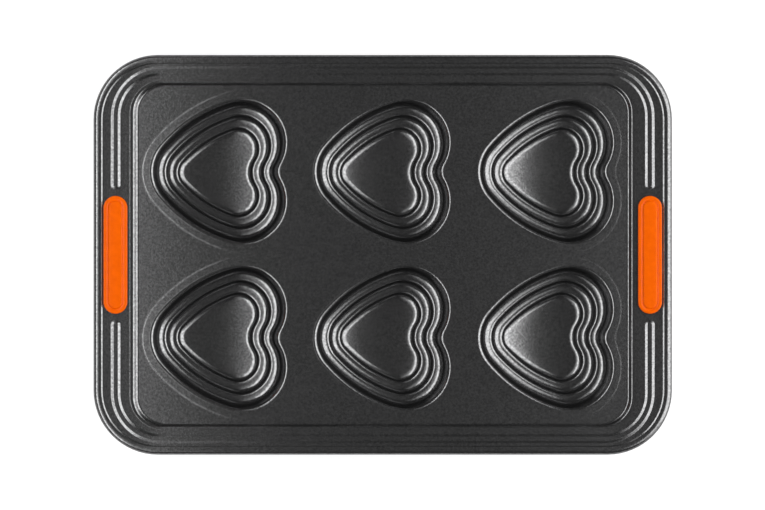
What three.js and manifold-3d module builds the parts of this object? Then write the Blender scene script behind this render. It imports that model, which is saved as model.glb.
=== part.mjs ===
// Heart muffin pan: one pressed steel sheet with six stepped heart cups and a wired, rolled edge,
// and a silicone grip pushed through a slot in each end flange.
// Millimetres, +Z up. The origin is under the middle of the pan, level with the undersides of the
// cup floors that it stands on. X runs along the pan, and the tips of the hearts point to -X.

import * as THREE from 'three';
import { mergeVertices } from 'three/addons/utils/BufferGeometryUtils.js';
import Module from 'manifold-3d';

// Sheet, and the gap between pieces that touch
const SHEET = 0.9;
const CLEARANCE = 0.3;

// Heart outline where the cup wall meets the deck
const MOUTH_LENGTH = 90.4;
const MOUTH_WIDTH = 97.4;
const MOUTH_TIP_RADIUS = 26.3;
const MOUTH_SIDE_RADIUS = 99;
const MOUTH_LOBE_RADIUS = 29;
const MOUTH_NOTCH_RADIUS = 10.5;

// Heart outline round the cup floor, which lies a little nearer the tip than the mouth does
const FLOOR_LENGTH = 54.2;
const FLOOR_WIDTH = 58.9;
const FLOOR_TIP_RADIUS = 10;
const FLOOR_SIDE_RADIUS = 81.6;
const FLOOR_LOBE_RADIUS = 14.2;
const FLOOR_NOTCH_RADIUS = 13;
const FLOOR_TOWARDS_TIP = 1.6;

// Section of a cup from the deck down: a wall, then two treads, each with a riser below it
const WALL_RUN = 2.9;
const WALL_DROP = 13.2;
const UPPER_TREAD_RUN = 5.6;
const LOWER_TREAD_RUN = 5.9;
const TREAD_DROP = 0.55;
const RISER_RUN = 1.75;
const RISER_DROP = 6.85;
const MOUTH_FILLET = 3.5;
const TREAD_FILLET = 3.9;
const NOSE_FILLET = 1.3;
const FLOOR_FILLET = 3.2;
const LEAST_FILLET = 0.2;

// Layout of the cups on the deck
const CUP_COLUMNS = 3;
const CUP_ROWS = 2;
const COLUMN_WEB = 22.9;
const ROW_WEB = 17.9;
const DECK_END_MARGIN = 11.8;
const DECK_SIDE_MARGIN = 10.85;
const CUPS_TOWARDS_TIPS = 0.55;

// Rim: a short wall round the deck, a flange, and the bead rolled round the wire
const DECK_CORNER_RADIUS = 19;
const RIM_WALL_HEIGHT = 3.4;
const RIM_WALL_RUN = 2.4;
const RIM_FILLET = 1.8;
const END_FLANGE = 21.45;
const SIDE_FLANGE = 12.8;
const PAN_CORNER_RADIUS = 44.5;
const WIRE_RADIUS = 2.1;
const BEAD_SINK = 2.1;
const CURL_END_ANGLE = -150;

// Raised rib along the flange, which stops short of the grips
const RIB_HEIGHT = 1;
const RIB_WIDTH = 7.4;
const RIB_CREST_WIDTH = 2;
const RIB_TOWARDS_EDGE = 1.4;
const RIB_END_RUN = 2.5;
const RIB_TO_GRIP = 5.2;

// Grips: a pad above and a pad below the flange, joined by a neck through the slot
const GRIP_LENGTH = 82;
const GRIP_TO_BEAD = 0.6;
const GRIP_TO_WALL = 3.7;
const GRIP_LAP = 3.2;
const PAD_THICKNESS = 2;
const PAD_EDGE_RADIUS = 0.8;
const PANEL_INSET = 3.3;
const PANEL_RAISE = 0.5;
const PANEL_EDGE_RUN = 0.4;

// Facets
const TIP_STEPS = 3;
const SIDE_STEPS = 2;
const LOBE_STEPS = 7;
const NOTCH_STEPS = 2;
const CUP_TOP_STEPS = [2, 2, 1, 2, 1, 2];
const CUP_UNDER_STEPS = [1, 2, 0, 2, 0, 2];
const RIM_TOP_STEPS = [2, 2];
const RIM_UNDER_STEPS = [1, 1];
const CORNER_STEPS = 6;
const CURL_OUTER_STEPS = 10;
const CURL_INNER_STEPS = 8;
const WIRE_STEPS = 10;
const GRIP_END_STEPS = 10;
const PAD_EDGE_STEPS = 2;

// Sizes that follow from the driving dimensions
const CUP_RUN = WALL_RUN + UPPER_TREAD_RUN + LOWER_TREAD_RUN + 2 * RISER_RUN;
const CUP_DEPTH = WALL_DROP + 2 * (TREAD_DROP + RISER_DROP);
const DECK_Z = SHEET + CUP_DEPTH;
const FLANGE_Z = DECK_Z + RIM_WALL_HEIGHT;
const COLUMN_PITCH = MOUTH_LENGTH + COLUMN_WEB;
const ROW_PITCH = MOUTH_WIDTH + ROW_WEB;
const BEAD_RADIUS = WIRE_RADIUS + CLEARANCE + SHEET;
const BEAD_Z = FLANGE_Z - BEAD_SINK;
const BEAD_REACH = BEAD_RADIUS + Math.sqrt(BEAD_RADIUS ** 2 - BEAD_SINK ** 2);

const DECK = {
  halfLength: ((CUP_COLUMNS - 1) * COLUMN_PITCH + MOUTH_LENGTH) / 2 + DECK_END_MARGIN,
  halfWidth: ((CUP_ROWS - 1) * ROW_PITCH + MOUTH_WIDTH) / 2 + DECK_SIDE_MARGIN,
  radius: DECK_CORNER_RADIUS,
};
const EDGE = {
  halfLength: DECK.halfLength + RIM_WALL_RUN + END_FLANGE + BEAD_REACH,
  halfWidth: DECK.halfWidth + RIM_WALL_RUN + SIDE_FLANGE + BEAD_REACH,
  radius: PAN_CORNER_RADIUS,
};

const GRIP_WIDTH = END_FLANGE - GRIP_TO_BEAD - GRIP_TO_WALL;
const GRIP_X = EDGE.halfLength - BEAD_REACH - GRIP_TO_BEAD - GRIP_WIDTH / 2;
const RIB_STOP = GRIP_LENGTH / 2 + RIB_TO_GRIP;

// A closed skin of triangles, put together from rings of equal length that run counter-clockwise
// when they are seen from above
class Skin {
  constructor() {
    this.positions = [];
    this.triangles = [];
  }

  ring(points) {
    const first = this.positions.length / 3;
    for (const point of points) this.positions.push(point.x, point.y, point.z);
    return points.map((point, i) => first + i);
  }

  // A band from one ring to the next faces up where the second ring lies inside the first
  band(from, to) {
    for (let i = 0; i < from.length; i += 1) {
      const next = (i + 1) % from.length;
      this.triangles.push(from[i], from[next], to[next]);
      this.triangles.push(from[i], to[next], to[i]);
    }
  }

  bands(rings) {
    for (let k = 1; k < rings.length; k += 1) this.band(rings[k - 1], rings[k]);
  }

  // A flat lid inside one ring and outside the others
  lid(outline, holes, facesUp) {
    const flat = (index) => new THREE.Vector2(this.positions[3 * index], this.positions[3 * index + 1]);
    const indices = [outline, ...holes].flat();
    const faces = THREE.ShapeUtils.triangulateShape(outline.map(flat), holes.map((hole) => hole.map(flat)));
    for (const face of faces) {
      const corners = face.map((corner) => indices[corner]);
      const isUp = THREE.ShapeUtils.area(corners.map(flat)) > 0;
      if (isUp !== facesUp) corners.reverse();
      this.triangles.push(...corners);
    }
  }

  geometry() {
    const geometry = new THREE.BufferGeometry();
    geometry.setAttribute('position', new THREE.Float32BufferAttribute(this.positions, 3));
    geometry.setIndex(this.triangles);
    return geometry;
  }
}

// Points of an arc about a centre, from one angle to another, without its last point
function arcPoints(centre, radius, from, to, steps) {
  const points = [];
  for (let i = 0; i < steps; i += 1) {
    const angle = from + ((to - from) * i) / steps;
    const spoke = new THREE.Vector2(Math.cos(angle), Math.sin(angle));
    points.push(centre.clone().addScaledVector(spoke, radius));
  }
  return points;
}

// Heart outline, tip towards -X, centred between its tip and its lobes. Half of it is a chain of four
// tangent arcs: a tip on the axis, a long side that holds the tip and lobe circles inside its own
// circle, a lobe, and a notch on the axis that touches the lobe from outside. The other half mirrors it.
function heartOutline(length, width, tipRadius, sideRadius, lobeRadius, notchRadius) {
  const tip = new THREE.Vector2(tipRadius - length / 2, 0);
  const lobe = new THREE.Vector2(length / 2 - lobeRadius, width / 2 - lobeRadius);
  const span = lobe.clone().sub(tip);
  const tipReach = sideRadius - tipRadius;
  const lobeReach = sideRadius - lobeRadius;
  const along = (tipReach ** 2 - lobeReach ** 2 + span.lengthSq()) / (2 * span.length());
  const across = Math.sqrt(tipReach ** 2 - along ** 2);
  const unit = span.clone().normalize();
  const side = tip.clone().addScaledVector(unit, along);
  side.add(new THREE.Vector2(unit.y, -unit.x).multiplyScalar(across));
  const notch = new THREE.Vector2(lobe.x + Math.sqrt((lobeRadius + notchRadius) ** 2 - lobe.y ** 2), 0);

  const tipTurn = tip.clone().sub(side).angle();
  const lobeTurn = lobe.clone().sub(side).angle();
  const notchTurn = -lobe.clone().sub(notch).angle() + Math.PI;
  const upper = [
    ...arcPoints(notch, notchRadius, Math.PI, Math.PI - notchTurn, NOTCH_STEPS),
    ...arcPoints(lobe, lobeRadius, -notchTurn, lobeTurn, LOBE_STEPS),
    ...arcPoints(side, sideRadius, lobeTurn, tipTurn, SIDE_STEPS),
    ...arcPoints(tip, tipRadius, tipTurn, Math.PI, TIP_STEPS),
  ];
  const tipPoint = new THREE.Vector2(-length / 2, 0);
  const lower = upper.slice(1).reverse().map((point) => new THREE.Vector2(point.x, -point.y));
  return [...upper, tipPoint, ...lower];
}

// Corners of a section moved to the right of its direction, as the underside of a sheet is
function offsetSection(corners, distance) {
  const directions = corners.slice(1).map((corner, i) => corner.clone().sub(corners[i]).normalize());
  return corners.map((corner, i) => {
    const before = directions[Math.max(i - 1, 0)];
    const after = directions[Math.min(i, directions.length - 1)];
    const middle = before.clone().add(after).normalize();
    const right = new THREE.Vector2(middle.y, -middle.x);
    return corner.clone().addScaledVector(right, distance / middle.dot(after));
  });
}

// The inner corners of a section rounded off by arcs. Each fillet takes at most half of its two sides,
// and one with no steps leaves its corner sharp.
function filletSection(corners, radii, steps) {
  const points = [];
  for (let i = 1; i < corners.length - 1; i += 1) {
    if (steps[i - 1] === 0) {
      points.push(corners[i].clone());
      continue;
    }
    const before = corners[i].clone().sub(corners[i - 1]);
    const after = corners[i + 1].clone().sub(corners[i]);
    const room = Math.min(before.length(), after.length()) / 2;
    const turn = Math.atan2(before.cross(after), before.dot(after));
    const tangent = Math.min(radii[i - 1] * Math.tan(Math.abs(turn) / 2), room);
    const radius = tangent / Math.tan(Math.abs(turn) / 2);
    const heading = before.angle();
    const left = Math.sign(turn);
    const start = corners[i].clone().addScaledVector(before.normalize(), -tangent);
    const centre = start.clone().add(new THREE.Vector2(-before.y, before.x).multiplyScalar(left * radius));
    for (let k = 0; k <= steps[i - 1]; k += 1) {
      const angle = heading + (turn * k) / steps[i - 1] - (left * Math.PI) / 2;
      points.push(new THREE.Vector2(centre.x + radius * Math.cos(angle), centre.y + radius * Math.sin(angle)));
    }
  }
  return points;
}

// Section of a cup as corners (distance in from the mouth outline, height). Its first side lies on the
// deck, twice as long as the mouth fillet's radius, so that the fillet is not cut short there.
function cupCorners() {
  const corner = new THREE.Vector2(0, DECK_Z);
  const corners = [new THREE.Vector2(-2 * MOUTH_FILLET, DECK_Z), corner.clone()];
  const flights = [
    [WALL_RUN, WALL_DROP],
    [UPPER_TREAD_RUN, TREAD_DROP],
    [RISER_RUN, RISER_DROP],
    [LOWER_TREAD_RUN, TREAD_DROP],
    [RISER_RUN, RISER_DROP],
    [FLOOR_WIDTH / 2, 0],
  ];
  for (const [run, drop] of flights) {
    corner.add(new THREE.Vector2(run, -drop));
    corners.push(corner.clone());
  }
  return corners;
}

// Rings of one side of a cup: each height of the section blends the mouth outline into the floor outline
function cupRings(skin, section, centre, mouthOutline, floorOutline) {
  return section.map(({ x: distance, y: height }) => {
    const share = distance / CUP_RUN;
    const points = mouthOutline.map((mouthPoint, i) => {
      const point = mouthPoint.clone().lerp(floorOutline[i], share).add(centre);
      return new THREE.Vector3(point.x, point.y, height);
    });
    return skin.ring(points);
  });
}

// Both sides of one cup with its floor. Gives back the two mouth rings, which the deck fits round.
function addCup(skin, centre, mouthOutline, floorOutline) {
  const topCorners = cupCorners();
  const underCorners = offsetSection(topCorners, SHEET);
  const topRadii = [MOUTH_FILLET, TREAD_FILLET, NOSE_FILLET, TREAD_FILLET, NOSE_FILLET, FLOOR_FILLET];
  const thicker = [-SHEET, SHEET, -SHEET, SHEET, -SHEET, SHEET];
  const underRadii = topRadii.map((radius, i) => Math.max(radius + thicker[i], LEAST_FILLET));
  const topSection = filletSection(topCorners, topRadii, CUP_TOP_STEPS);
  const underSection = filletSection(underCorners, underRadii, CUP_UNDER_STEPS);
  const topRings = cupRings(skin, topSection, centre, mouthOutline, floorOutline);
  const underRings = cupRings(skin, underSection, centre, mouthOutline, floorOutline);
  skin.bands(topRings);
  skin.bands([...underRings].reverse());
  skin.lid(topRings.at(-1), [], true);
  skin.lid(underRings.at(-1), [], false);
  return [topRings[0], underRings[0]];
}

// Stations round the pan. Each is a corner with its angle, or a point on a straight end with its Y.
// The rib is down between its stops at the two ends, and up everywhere else.
function rimStations() {
  const stations = [];
  for (let quarter = 0; quarter < 4; quarter += 1) {
    const middle = ((quarter + 0.5) * Math.PI) / 2;
    const signX = Math.sign(Math.cos(middle));
    const signY = Math.sign(Math.sin(middle));
    for (let i = 0; i <= CORNER_STEPS; i += 1) {
      const angle = ((quarter + i / CORNER_STEPS) * Math.PI) / 2;
      stations.push({ signX, signY, cos: Math.cos(angle), sin: Math.sin(angle), rib: 1 });
    }
    const atEnd = quarter % 2 === 1;
    if (atEnd) {
      const endSign = quarter === 1 ? -1 : 1;
      const ribUp = RIB_STOP + RIB_END_RUN;
      for (const [y, rib] of [[ribUp, 1], [RIB_STOP, 0], [-RIB_STOP, 0], [-ribUp, 1]]) {
        stations.push({ signX: endSign, y: -endSign * y, rib });
      }
    }
  }
  return stations;
}

// Points of a rounded rectangle at the stations, grown outwards by a distance
function trackPoints(track, stations, grow) {
  const radius = track.radius + grow;
  const centreX = track.halfLength - track.radius;
  const centreY = track.halfWidth - track.radius;
  return stations.map((station) => {
    if (station.y !== undefined) return new THREE.Vector2(station.signX * (centreX + radius), station.y);
    const x = station.signX * centreX + radius * station.cos;
    const y = station.signY * centreY + radius * station.sin;
    return new THREE.Vector2(x, y);
  });
}

// Rings of one side of the rolled edge, from the open end of the curl up to where it meets the flange
function curlRings(skin, stations, radius, meetsAt, steps) {
  const end = THREE.MathUtils.degToRad(CURL_END_ANGLE);
  const start = Math.PI - Math.asin((meetsAt - BEAD_Z) / radius);
  const rings = [];
  for (let i = 0; i <= steps; i += 1) {
    const angle = end + ((start - end) * i) / steps;
    const height = BEAD_Z + radius * Math.sin(angle);
    const points = trackPoints(EDGE, stations, radius * Math.cos(angle) - BEAD_RADIUS);
    rings.push(skin.ring(points.map((point) => new THREE.Vector3(point.x, point.y, height))));
  }
  return rings;
}

// Rings over the rib at one level of the flange, from its outer foot to its inner foot
function ribRings(skin, stations, flangeLevel) {
  const outer = trackPoints(EDGE, stations, -BEAD_REACH);
  const inner = trackPoints(DECK, stations, RIM_WALL_RUN);
  const section = [
    [-RIB_WIDTH / 2, 0],
    [-RIB_CREST_WIDTH / 2, RIB_HEIGHT],
    [RIB_CREST_WIDTH / 2, RIB_HEIGHT],
    [RIB_WIDTH / 2, 0],
  ];
  return section.map(([across, height]) => {
    const points = stations.map((station, i) => {
      const inwards = inner[i].clone().sub(outer[i]);
      const distance = inwards.length() / 2 - RIB_TOWARDS_EDGE + across;
      const point = outer[i].clone().addScaledVector(inwards.normalize(), distance);
      return new THREE.Vector3(point.x, point.y, flangeLevel + height * station.rib);
    });
    return skin.ring(points);
  });
}

// Rings of the short wall round the deck, from the flange down to the deck
function rimWallRings(skin, stations, corners, radii, steps) {
  const section = filletSection(corners, radii, steps).reverse();
  return section.map(({ x: distance, y: height }) => {
    const points = trackPoints(DECK, stations, distance);
    return skin.ring(points.map((point) => new THREE.Vector3(point.x, point.y, height)));
  });
}

// Both sides of the rim. Gives back the two rings at the foot of its wall, which the deck fits into.
function addRim(skin) {
  const stations = rimStations();
  const topCorners = [
    new THREE.Vector2(-DECK_SIDE_MARGIN, DECK_Z),
    new THREE.Vector2(0, DECK_Z),
    new THREE.Vector2(RIM_WALL_RUN, FLANGE_Z),
    new THREE.Vector2(RIM_WALL_RUN + SIDE_FLANGE, FLANGE_Z),
  ];
  const underCorners = offsetSection(topCorners, SHEET);
  const topRings = [
    ...curlRings(skin, stations, BEAD_RADIUS, FLANGE_Z, CURL_OUTER_STEPS),
    ...ribRings(skin, stations, FLANGE_Z),
    ...rimWallRings(skin, stations, topCorners, [RIM_FILLET, RIM_FILLET], RIM_TOP_STEPS),
  ];
  const underFillets = [RIM_FILLET + SHEET, Math.max(RIM_FILLET - SHEET, LEAST_FILLET)];
  const underRings = [
    ...curlRings(skin, stations, BEAD_RADIUS - SHEET, FLANGE_Z - SHEET, CURL_INNER_STEPS),
    ...ribRings(skin, stations, FLANGE_Z - SHEET),
    ...rimWallRings(skin, stations, underCorners, underFillets, RIM_UNDER_STEPS),
  ];
  skin.bands(topRings);
  skin.bands([...underRings].reverse());
  skin.band(underRings[0], topRings[0]);
  return [topRings.at(-1), underRings.at(-1)];
}

// Round-ended outline of a grip or its slot, at one end of the pan, drawn in from the grip's edge
function gripOutline(centreX, inset) {
  const radius = GRIP_WIDTH / 2 - inset;
  const ends = GRIP_LENGTH / 2 - GRIP_WIDTH / 2;
  const upperEnd = new THREE.Vector2(centreX, ends);
  const lowerEnd = new THREE.Vector2(centreX, -ends);
  const upper = arcPoints(upperEnd, radius, 0, Math.PI, GRIP_END_STEPS);
  const lower = arcPoints(lowerEnd, radius, Math.PI, 2 * Math.PI, GRIP_END_STEPS);
  upper.push(new THREE.Vector2(centreX - radius, ends));
  lower.push(new THREE.Vector2(centreX + radius, -ends));
  return [...upper, ...lower];
}

// A closed skin of stacked outlines, from the bottom up. Each level is an inset and a height.
function stackedGeometry(centreX, levels) {
  const skin = new Skin();
  const rings = levels.map(([inset, height]) => {
    const outline = gripOutline(centreX, inset);
    return skin.ring(outline.map((point) => new THREE.Vector3(point.x, point.y, height)));
  });
  skin.bands(rings);
  skin.lid(rings[0], [], false);
  skin.lid(rings.at(-1), [], true);
  return skin.geometry();
}

const wasm = await Module();
wasm.setup();

// A closed geometry as a solid that can be cut
function solidOf(geometry) {
  const bare = geometry.clone();
  bare.deleteAttribute('normal');
  bare.deleteAttribute('uv');
  const merged = mergeVertices(bare);
  return new wasm.Manifold(new wasm.Mesh({
    numProp: 3,
    vertProperties: new Float32Array(merged.attributes.position.array),
    triVerts: new Uint32Array(merged.index.array),
  }));
}

// A cut solid as a geometry
function geometryOf(solid) {
  const mesh = solid.getMesh();
  const geometry = new THREE.BufferGeometry();
  geometry.setAttribute('position', new THREE.BufferAttribute(new Float32Array(mesh.vertProperties), 3));
  geometry.setIndex(new THREE.BufferAttribute(new Uint32Array(mesh.triVerts), 1));
  return geometry;
}

// The pressed sheet: rim, deck and cups in one skin, with a slot cut through each end flange
function panGeometry() {
  const skin = new Skin();
  const mouthOutline = heartOutline(
    MOUTH_LENGTH, MOUTH_WIDTH, MOUTH_TIP_RADIUS, MOUTH_SIDE_RADIUS, MOUTH_LOBE_RADIUS, MOUTH_NOTCH_RADIUS,
  );
  const floorOutline = heartOutline(
    FLOOR_LENGTH, FLOOR_WIDTH, FLOOR_TIP_RADIUS, FLOOR_SIDE_RADIUS, FLOOR_LOBE_RADIUS, FLOOR_NOTCH_RADIUS,
  );
  for (const point of floorOutline) point.x -= FLOOR_TOWARDS_TIP;

  const [deckTop, deckUnder] = addRim(skin);
  const topMouths = [];
  const underMouths = [];
  for (let column = 0; column < CUP_COLUMNS; column += 1) {
    for (let row = 0; row < CUP_ROWS; row += 1) {
      const x = (column - (CUP_COLUMNS - 1) / 2) * COLUMN_PITCH - CUPS_TOWARDS_TIPS;
      const y = (row - (CUP_ROWS - 1) / 2) * ROW_PITCH;
      const [top, under] = addCup(skin, new THREE.Vector2(x, y), mouthOutline, floorOutline);
      topMouths.push(top);
      underMouths.push(under);
    }
  }
  skin.lid(deckTop, topMouths, true);
  skin.lid(deckUnder, underMouths, false);

  let pan = solidOf(skin.geometry());
  for (const end of [-1, 1]) {
    const slot = stackedGeometry(end * GRIP_X, [
      [GRIP_LAP, FLANGE_Z - 2 * SHEET],
      [GRIP_LAP, FLANGE_Z + SHEET],
    ]);
    pan = pan.subtract(solidOf(slot));
  }
  return geometryOf(pan);
}

// The wire, a round rod bent to the pan's outline and closed on itself, inside the bead
function wireGeometry() {
  const skin = new Skin();
  const stations = rimStations();
  const rings = [];
  for (let i = 0; i < WIRE_STEPS; i += 1) {
    const angle = (2 * Math.PI * i) / WIRE_STEPS;
    const height = BEAD_Z + WIRE_RADIUS * Math.sin(angle);
    const points = trackPoints(EDGE, stations, WIRE_RADIUS * Math.cos(angle) - BEAD_RADIUS);
    rings.push(skin.ring(points.map((point) => new THREE.Vector3(point.x, point.y, height))));
  }
  skin.bands([...rings, rings[0]]);
  return skin.geometry();
}

// One grip, from the underside of its lower pad to the bare raised panel on its upper pad
function gripGeometry(centreX) {
  const upperFoot = FLANGE_Z + CLEARANCE;
  const upperTop = upperFoot + PAD_THICKNESS;
  const lowerTop = FLANGE_Z - SHEET - CLEARANCE;
  const lowerFoot = lowerTop - PAD_THICKNESS;
  const neckInset = GRIP_LAP + CLEARANCE;
  const lowerEdge = [];
  const upperEdge = [];
  for (let i = 0; i <= PAD_EDGE_STEPS; i += 1) {
    const angle = (Math.PI / 2) * (i / PAD_EDGE_STEPS);
    const inset = PAD_EDGE_RADIUS * (1 - Math.sin(angle));
    const rise = PAD_EDGE_RADIUS * (1 - Math.cos(angle));
    lowerEdge.push([inset, lowerFoot + rise]);
    upperEdge.unshift([inset, upperTop - rise]);
  }
  return stackedGeometry(centreX, [
    ...lowerEdge,
    [0, lowerTop],
    [neckInset, lowerTop],
    [neckInset, upperFoot],
    [0, upperFoot],
    ...upperEdge,
    [PANEL_INSET, upperTop],
    [PANEL_INSET + PANEL_EDGE_RUN, upperTop + PANEL_RAISE],
  ]);
}

function namedMesh(name, geometry, color, roughness, metalness) {
  const material = new THREE.MeshStandardMaterial({ color, roughness, metalness });
  geometry.computeVertexNormals();
  const mesh = new THREE.Mesh(geometry, material);
  mesh.name = name;
  return mesh;
}

const heartMuffinPan = new THREE.Group();
heartMuffinPan.add(namedMesh('pan_shell', panGeometry(), 0x3b3b3d, 0.45, 0.4));
heartMuffinPan.add(namedMesh('rim_wire', wireGeometry(), 0xb8bcc0, 0.35, 1));
heartMuffinPan.add(namedMesh('left_grip', gripGeometry(-GRIP_X), 0xf3640a, 0.6, 0));
heartMuffinPan.add(namedMesh('right_grip', gripGeometry(GRIP_X), 0xf3640a, 0.6, 0));

export default heartMuffinPan;
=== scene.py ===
# %% [markdown]
# # A heart muffin pan
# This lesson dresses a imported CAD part: a pressed steel baking pan with six stepped heart cups, a wired
# rolled edge and two silicone grips. The CAD part is loaded first and never changes. Each new piece
# stands where its CAD node is, with finer curves and a finish that is made of shader nodes. Lengths are
# in millimetres until a mesh is made, apart from those of the floor and the lamps, which are in metres.

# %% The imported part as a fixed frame
import math

import bmesh
import bpy
import numpy as np
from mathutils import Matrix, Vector
from mathutils.geometry import tessellate_polygon


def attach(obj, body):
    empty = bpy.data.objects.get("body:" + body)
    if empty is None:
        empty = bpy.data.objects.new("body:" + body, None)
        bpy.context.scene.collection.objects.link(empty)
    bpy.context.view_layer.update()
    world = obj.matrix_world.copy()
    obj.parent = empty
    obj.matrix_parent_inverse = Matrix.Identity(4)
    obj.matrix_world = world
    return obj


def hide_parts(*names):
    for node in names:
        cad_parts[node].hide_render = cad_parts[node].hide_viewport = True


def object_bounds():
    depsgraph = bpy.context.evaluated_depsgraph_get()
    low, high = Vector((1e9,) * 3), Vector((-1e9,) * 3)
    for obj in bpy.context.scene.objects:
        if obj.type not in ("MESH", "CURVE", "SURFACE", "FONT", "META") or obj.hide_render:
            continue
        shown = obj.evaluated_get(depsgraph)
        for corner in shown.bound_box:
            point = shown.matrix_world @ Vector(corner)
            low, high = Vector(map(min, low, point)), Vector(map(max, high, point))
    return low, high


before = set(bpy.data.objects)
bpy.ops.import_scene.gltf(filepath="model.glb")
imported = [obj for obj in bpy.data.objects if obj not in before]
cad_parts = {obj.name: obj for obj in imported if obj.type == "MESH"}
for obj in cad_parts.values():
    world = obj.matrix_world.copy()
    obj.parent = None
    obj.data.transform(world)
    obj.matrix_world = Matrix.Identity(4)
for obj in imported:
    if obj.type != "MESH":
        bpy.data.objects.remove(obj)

MM = 0.001
cad_low, cad_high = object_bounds()
cad_size = (cad_high - cad_low) / MM
scene = bpy.context.scene
scene.view_settings.view_transform = "Standard"
print("CAD nodes:", sorted(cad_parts))
print("CAD box in mm:", [round(side, 1) for side in cad_size])

# %% [markdown]
# ## Camera
# The picture is taken from straight above, so the camera needs no turn: a new camera looks along -Z with
# +Y up. The pan's edges in the picture, in pixels from its left and top, give the size of a pixel at the
# level of the rolled edge, and from that and the height of the camera follows the lens. A far camera
# with a long lens keeps the cups from leaning outwards; the height was chosen so that the cup walls lean
# as much as they do in the picture.

# %% Camera over the middle of the pan
PICTURE_WIDTH, PICTURE_HEIGHT = 765, 510
PAN_LEFT, PAN_RIGHT = 93.65, 671.8
PAN_TOP, PAN_BOTTOM = 55.1, 454.5
CAMERA_HEIGHT = 2200
EDGE_LEVEL = 30.2

pixel = cad_size.x / (PAN_RIGHT - PAN_LEFT)
aside = pixel * (PICTURE_WIDTH - PAN_LEFT - PAN_RIGHT) / 2
along = pixel * (PAN_TOP + PAN_BOTTOM - PICTURE_HEIGHT) / 2
camera_data = bpy.data.cameras.new("camera")
camera_data.lens = camera_data.sensor_width * CAMERA_HEIGHT / (pixel * PICTURE_WIDTH)
camera = bpy.data.objects.new("camera", camera_data)
camera.location = Vector((aside, along, EDGE_LEVEL + CAMERA_HEIGHT)) * MM
scene.collection.objects.link(camera)
scene.camera = camera
print(f"a pixel is {pixel:.3f} mm at the rim; lens {camera_data.lens:.1f} mm")

# %% [markdown]
# ## Finishes
# All three finishes are a Principled shader with sockets that waver with noise, because no real surface
# is quite even. The noise is read at Object coordinates, so it stays on the metal or the rubber when the
# piece is seen from another side. A few helpers keep each finish down to its own values.

# %% Helpers for node materials
NOISE_LOW, NOISE_HIGH = 0.3, 0.7


def new_material(name, **sockets):
    """A material with one Principled shader, whose constant sockets are set here."""
    material = bpy.data.materials.new(name)
    material.use_nodes = True
    shader = material.node_tree.nodes["Principled BSDF"]
    for socket, value in sockets.items():
        shader.inputs[socket.replace("_", " ")].default_value = value
    return material, shader


def noise(material, grain):
    """A noise texture on Object coordinates whose blotches are about as wide as the grain, in mm."""
    nodes = material.node_tree.nodes
    place = nodes.new("ShaderNodeTexCoord")
    texture = nodes.new("ShaderNodeTexNoise")
    texture.inputs["Scale"].default_value = 1 / (grain * MM)
    material.node_tree.links.new(place.outputs["Object"], texture.inputs["Vector"])
    return texture.outputs["Fac"]


def waver_value(material, factor, low, high, target):
    """Drives a value socket evenly from low to high as the factor goes from 0 to 1."""
    span = material.node_tree.nodes.new("ShaderNodeMapRange")
    span.inputs["To Min"].default_value = low
    span.inputs["To Max"].default_value = high
    material.node_tree.links.new(factor, span.inputs["Value"])
    material.node_tree.links.new(span.outputs["Result"], target)


def waver_colour(material, factor, low, high, target):
    """Drives a colour socket from low to high over the range that noise keeps to most of the time."""
    blend = material.node_tree.nodes.new("ShaderNodeValToRGB")
    for stop, colour, position in zip(blend.color_ramp.elements, (low, high), (NOISE_LOW, NOISE_HIGH)):
        stop.color = (*colour, 1)
        stop.position = position
    material.node_tree.links.new(factor, blend.inputs["Fac"])
    material.node_tree.links.new(blend.outputs["Color"], target)


def relief(material, shader, factor, depth):
    """Turns a factor into a relief of the surface; the depth is in mm."""
    height = material.node_tree.nodes.new("ShaderNodeBump")
    height.inputs["Distance"].default_value = depth * MM
    material.node_tree.links.new(factor, height.inputs["Height"])
    material.node_tree.links.new(height.outputs["Normal"], shader.inputs["Normal"])


print("noise mostly lies between", NOISE_LOW, "and", NOISE_HIGH)

# %% [markdown]
# ## Non-stick coat
# The pan is dark grey all over: a baked coat with fine metal flakes in it. It draws bright lines along
# every bend that mirrors a lamp, and is nearly black where it mirrors none. A grey paint under a clear
# varnish would glow evenly instead, so the coat is a dark metal with a little dull pigment. A metal turns
# bright where it is seen at a low angle; the dark tint, which counts there, holds that back.

# %% Coat of the pan
COAT_DARK, COAT_LIGHT = (0.155, 0.155, 0.157), (0.265, 0.265, 0.267)
COAT_TINT = (0.03, 0.03, 0.03, 1)


def nonstick_coat():
    """A dark metal with fine blotches of colour, a fine relief and wide patches of roughness."""
    material, shader = new_material("nonstick_coat", Metallic=0.95, Specular_Tint=COAT_TINT)
    waver_colour(material, noise(material, grain=1.5), COAT_DARK, COAT_LIGHT, shader.inputs["Base Color"])
    waver_value(material, noise(material, grain=9.0), low=0.2, high=0.23, target=shader.inputs["Roughness"])
    relief(material, shader, noise(material, grain=1.1), depth=0.028)
    return material


coat = nonstick_coat()
print("coat nodes:", len(coat.node_tree.nodes))

# %% [markdown]
# ## Steel wire and silicone
# The wire in the rolled edge is plain drawn steel: a light metal, mottled and unevenly polished. The grips
# are orange silicone with only a weak gloss: its colour wavers a little and its skin has a very fine
# tooth. Neither has a pattern that would need a texture of its own, so noise alone is enough.

# %% Wire and grip finishes
STEEL_DARK, STEEL_LIGHT = (0.42, 0.42, 0.43), (0.6, 0.6, 0.61)
ORANGE_DARK, ORANGE_LIGHT = (0.75, 0.1, 0.001), (0.81, 0.116, 0.001)


def wire_steel():
    """A light metal with fine blotches of colour and of polish."""
    material, shader = new_material("wire_steel", Metallic=1.0)
    waver_colour(material, noise(material, grain=0.6), STEEL_DARK, STEEL_LIGHT, shader.inputs["Base Color"])
    waver_value(material, noise(material, grain=2.5), low=0.25, high=0.45, target=shader.inputs["Roughness"])
    return material


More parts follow.
